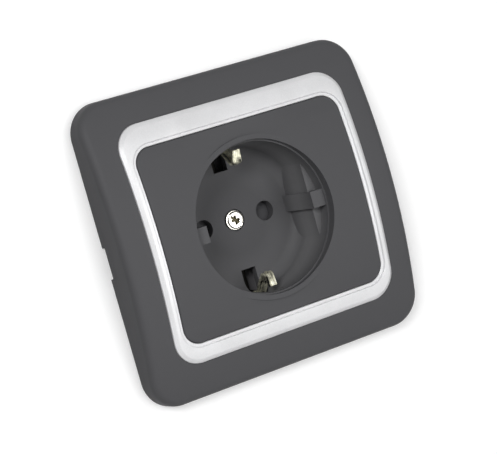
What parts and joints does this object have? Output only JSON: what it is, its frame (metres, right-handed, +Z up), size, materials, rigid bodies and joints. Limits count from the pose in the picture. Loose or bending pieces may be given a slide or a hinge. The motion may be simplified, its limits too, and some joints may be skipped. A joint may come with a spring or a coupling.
{
  "type": "wall socket",
  "caption": "Flush earthed wall socket with curved square cover frame, silver trim ring, round cup with earth clips and shutter, on a steel fixing bracket with claws.",
  "frame": {"origin": "centre of the cover frame on the wall face, midway between the two fixing slots", "axes": "X to the right seen from the front, Z up, -Y out of the wall towards the user, +Y into the wall box"},
  "size_m": [0.083, 0.0447, 0.08],
  "materials": {
    "anthracite_plastic": "satin moulded thermoplastic",
    "silver_lacquer": "fine silver lacquer",
    "nickel": "bright nickel plating",
    "zinc_steel": "zinc plated sheet and screws",
    "brass": "bare brass",
    "shutter_plastic": "slippery moulded plastic",
    "insert_plastic": "pale grey moulded insulation",
    "spring_steel": "drawn wire"
  },
  "bodies": {
    "socket": {"outer_frame": "anthracite_plastic", "trim_ring": "silver_lacquer", "centre_plate": "anthracite_plastic", "centre_screw": "nickel", "centre_nut": "zinc_steel", "shutter_spring": "spring_steel", "shutter_tray": "insert_plastic", "earth_strap": "nickel", "live_contact": "brass", "neutral_contact": "brass", "live_terminal": "brass", "neutral_terminal": "brass", "earth_terminal": "brass", "live_terminal_screw": "zinc_steel", "neutral_terminal_screw": "zinc_steel", "earth_terminal_screw": "zinc_steel", "insert_housing": "insert_plastic", "rear_cover": "insert_plastic", "mounting_bracket": "zinc_steel", "left_upper_pin": "zinc_steel", "left_lower_pin": "zinc_steel", "right_upper_pin": "zinc_steel", "right_lower_pin": "zinc_steel", "upper_right_rivet": "brass", "upper_left_rivet": "brass", "lower_left_rivet": "brass", "lower_right_rivet": "brass"},
    "shutter_slider": {"shutter": "shutter_plastic"},
    "left_claw_lever": {"left_claw": "zinc_steel", "left_claw_screw": "zinc_steel"},
    "right_claw_lever": {"right_claw": "zinc_steel", "right_claw_screw": "zinc_steel"}
  },
  "joints": [
    {"name": "shutter_slide", "type": "slide", "parent": "socket", "child": "shutter_slider", "axis": [0, 0, -1], "range_m": [0, 0.006], "stiffness_N_per_m": 60, "springref_m": -0.006, "deforming": ["shutter_spring"]},
    {"name": "left_claw_hinge", "type": "hinge", "parent": "socket", "child": "left_claw_lever", "pos_m": [-0.0266, 0.004, 0], "axis": [0, 0, 1], "range_deg": [0, 8]},
    {"name": "right_claw_hinge", "type": "hinge", "parent": "socket", "child": "right_claw_lever", "pos_m": [0.0266, 0.004, 0], "axis": [0, 0, -1], "range_deg": [0, 8]}
  ]
}
